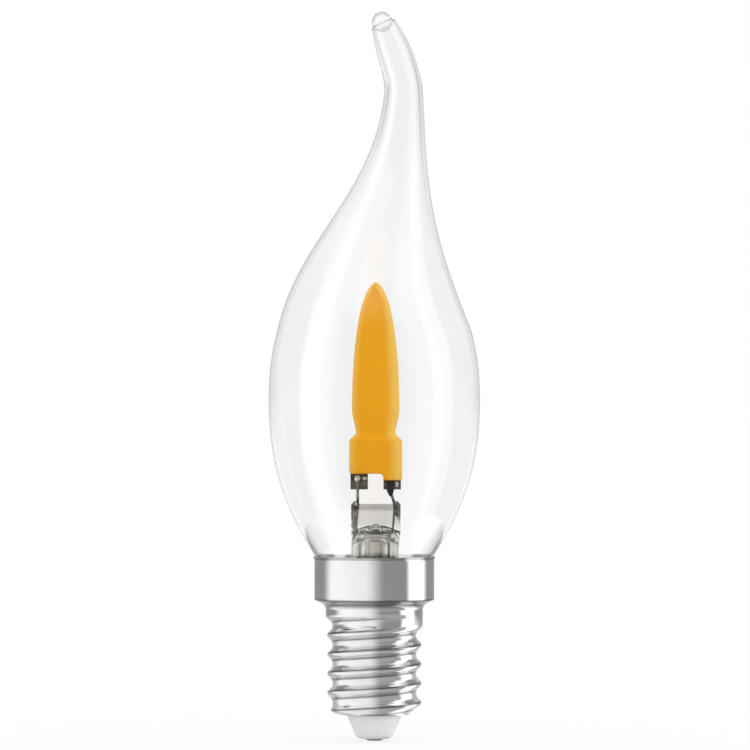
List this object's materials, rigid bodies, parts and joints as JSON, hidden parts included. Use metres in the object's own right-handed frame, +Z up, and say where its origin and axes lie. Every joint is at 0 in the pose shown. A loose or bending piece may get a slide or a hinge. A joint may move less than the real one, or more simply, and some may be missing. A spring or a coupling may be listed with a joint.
{
  "type": "candle bulb",
  "caption": "Clear glass candle bulb with a bent tip, a flame-shaped LED strip on a glass stem inside, and a small screw cap.",
  "frame": {"origin": "middle of the flat face of the centre contact, on the screw axis", "axes": "+Z up the screw axis from the contact to the tip, +X the way the bent tip leans, -Y the face of the LED strip that carries the solder joints"},
  "size_m": [0.031, 0.031, 0.1072],
  "materials": {
    "clear_glass": "clear, polished",
    "stem_glass": "clear, pressed",
    "lead_wire": "drawn nickel wire",
    "ceramic_plate": "matt",
    "led_chip": "clear over blue",
    "phosphor": "waxy, moulded silicone",
    "terminal": "dull tinned sheet",
    "solder": "bright solder",
    "dark_joint": "dark conductive glue",
    "cap_metal": "polished nickel plate",
    "cement": "matt basing cement",
    "insulator": "moulded, satin",
    "contact": "turned pin",
    "board": "solder mask on glass laminate",
    "chip_body": "moulded",
    "capacitor": "sleeved can",
    "resistor": "lacquered",
    "hookup_wire": "tinned wire"
  },
  "bodies": {
    "root": {"glass_envelope": "clear_glass", "glass_stem": "stem_glass", "exhaust_tube": "stem_glass", "lead_wire_left": "lead_wire", "lead_wire_right": "lead_wire", "strip_plate": "ceramic_plate", "led_chips": "led_chip", "phosphor_coat": "phosphor", "terminal_left": "terminal", "terminal_right": "terminal", "solder_left": "solder", "solder_right": "dark_joint", "screw_shell": "cap_metal", "basing_cement": "cement", "cap_insulator": "insulator", "centre_contact": "contact", "driver_board": "board", "driver_chip": "chip_body", "rectifier": "chip_body", "capacitor": "capacitor", "fuse_resistor": "resistor", "contact_wire": "hookup_wire", "shell_wire": "hookup_wire"}
  },
  "joints": []
}
